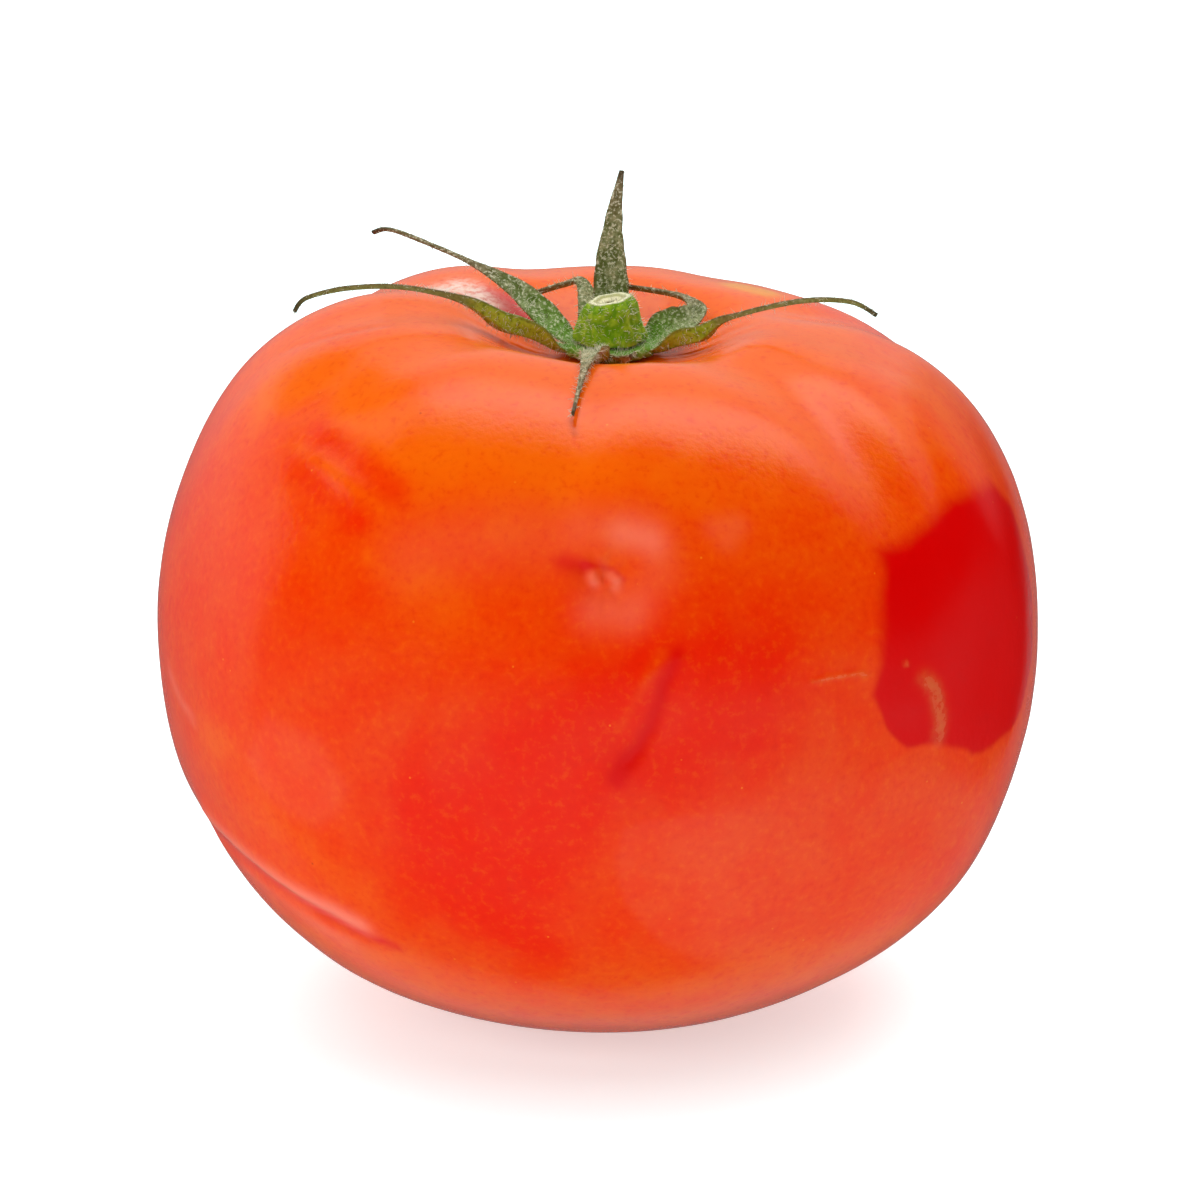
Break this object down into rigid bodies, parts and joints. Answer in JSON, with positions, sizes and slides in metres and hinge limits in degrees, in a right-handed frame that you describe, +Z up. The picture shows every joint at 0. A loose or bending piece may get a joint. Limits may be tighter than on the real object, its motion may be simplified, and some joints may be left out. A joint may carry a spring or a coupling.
{
  "type": "beefsteak tomato",
  "caption": "Ripe beefsteak tomato with a flattened, furrowed shoulder, green star-shaped calyx and short cut stub of stalk, resting on its blossom end.",
  "frame": {"origin": "middle of the small flat spot under the blossom end, on the surface that the fruit rests on", "axes": "+Z up through the stalk, +X to the viewer's right in the picture, +Y away from the viewer"},
  "size_m": [0.091, 0.0889, 0.0864],
  "materials": {
    "skin": "smooth waxy tomato skin, orange-red with redder and more orange patches",
    "sepals": "dull, finely hairy grey-green leaf, browned at the thin tips",
    "stalk": "fresh green ribbed stem with a pale cut face"
  },
  "bodies": {
    "root": {"fruit": "skin", "calyx": "sepals", "stalk": "stalk"}
  },
  "joints": []
}
